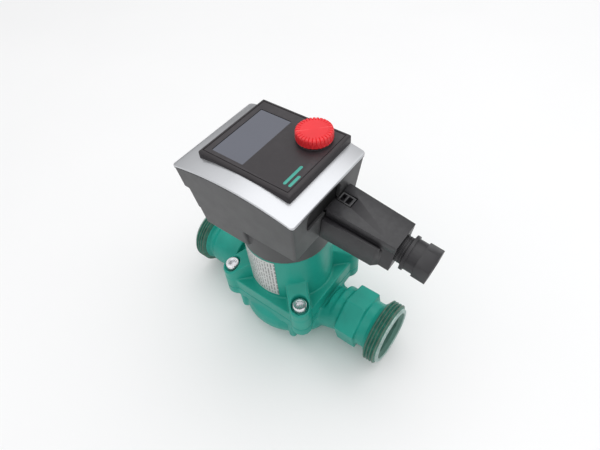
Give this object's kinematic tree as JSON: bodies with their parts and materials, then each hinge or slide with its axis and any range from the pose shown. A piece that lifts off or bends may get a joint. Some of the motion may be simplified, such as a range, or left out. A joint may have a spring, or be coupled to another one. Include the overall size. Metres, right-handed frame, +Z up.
{
  "type": "circulator pump",
  "caption": "Wet-rotor heating circulator pump with threaded in-line ports, green casting, electronic module with display, turn-and-push knob and angled mains plug.",
  "frame": {"origin": "centre of the volute's flat foot, on the motor axis", "axes": "+X along the pipe axis towards the discharge port, +Z up along the motor shaft, +Y to the back of the module"},
  "size_m": [0.197, 0.082, 0.1762],
  "materials": {
    "green_cast_iron": "semi-gloss green paint over slightly rough cast iron",
    "green_aluminium": "semi-gloss green paint over cast aluminium",
    "zinc_steel": "bright zinc plated steel",
    "label_film": "satin silver-white film",
    "stainless": "bright stainless steel",
    "carbon": "dark sintered carbon",
    "black_rubber": "matt black rubber",
    "lamination_steel": "varnished stack of steel laminations",
    "copper": "varnished copper wire",
    "magnet": "dark sintered ferrite",
    "impeller_plastic": "off-white filled plastic",
    "module_grey": "fine-textured dark grey plastic",
    "circuit_board": "green solder-mask laminate",
    "capacitor_can": "sleeved aluminium can",
    "brass": "plain brass",
    "display_frame": "grey display frame",
    "silver_paint": "satin silver lacquer on plastic",
    "panel_black": "semi-gloss near-black plastic",
    "display_glass": "glossy blue-grey display window",
    "black_plastic": "black plastic",
    "knob_red": "satin red plastic",
    "plug_black": "fine-textured black plastic"
  },
  "bodies": {
    "pump": {"pump_housing": "green_cast_iron", "wear_ring": "stainless", "bearing_plate": "stainless", "lower_bearing": "carbon", "flange_gasket": "black_rubber", "motor_housing": "green_aluminium", "motor_screws": "zinc_steel", "rating_plate": "label_film", "rotor_can": "stainless", "bearing_carrier": "stainless", "upper_bearing": "carbon", "stator_core": "lamination_steel", "stator_windings": "copper", "module_housing": "module_grey", "module_seal": "black_rubber", "module_screws": "zinc_steel", "power_board": "circuit_board", "capacitors": "capacitor_can", "choke": "copper", "board_pillars": "brass", "control_board": "circuit_board", "display_module": "display_frame", "module_cover": "silver_paint", "display_panel": "panel_black", "display_window": "display_glass", "encoder_body": "black_plastic", "power_socket": "black_plastic", "socket_pins": "brass"},
    "rotor": {"shaft": "stainless", "thrust_washer": "carbon", "rotor_core": "lamination_steel", "rotor_magnets": "magnet", "rotor_sleeve": "stainless", "impeller": "impeller_plastic"},
    "knob_carrier": {"encoder_plunger": "impeller_plastic"},
    "knob": {"encoder_shaft": "stainless", "adjust_knob": "knob_red"},
    "plug": {"plug_body": "plug_black", "plug_cover": "plug_black", "plug_screw": "zinc_steel", "plug_contacts": "brass", "gland_seal": "black_rubber"},
    "latch": {"plug_latch": "plug_black"},
    "gland_slider": {"gland_ring": "plug_black"},
    "gland_nut": {"gland_nut": "plug_black"}
  },
  "joints": [
    {"name": "rotor_spin", "type": "hinge", "parent": "pump", "child": "rotor", "pos_m": [0, 0, 0.05], "axis": [0, 0, 1], "continuous": true},
    {"name": "knob_push", "type": "slide", "parent": "pump", "child": "knob_carrier", "axis": [0, 0, -1], "range_m": [0, 0.0008], "stiffness_N_per_m": 3000, "springref_m": -0.0003},
    {"name": "knob_turn", "type": "hinge", "parent": "knob_carrier", "child": "knob", "pos_m": [0.0144, 0.0175, 0.17], "axis": [0, 0, 1], "continuous": true},
    {"name": "plug_pull", "type": "slide", "parent": "pump", "child": "plug", "axis": [0.9903, 0, -0.1392], "range_m": [0, 0.03]},
    {"name": "latch_press", "type": "hinge", "parent": "plug", "child": "latch", "pos_m": [0.04888, 0.0056, 0.1434], "axis": [0, -1, 0], "range_deg": [0, 5], "stiffness_Nm_per_rad": 0.2, "springref_deg": -2.86},
    {"name": "gland_travel", "type": "slide", "parent": "plug", "child": "gland_slider", "axis": [0.9903, 0, -0.1392], "range_m": [-0.003, 0.003]},
    {"name": "gland_turn", "type": "hinge", "parent": "gland_slider", "child": "gland_nut", "pos_m": [0.09675, 0.0045, 0.12617], "axis": [0.9903, 0, -0.1392], "range_deg": [-720, 720]}
  ],
  "couplings": [
    {"joint": "gland_turn", "follows": "gland_travel", "rad_per_m": 4188.8}
  ]
}
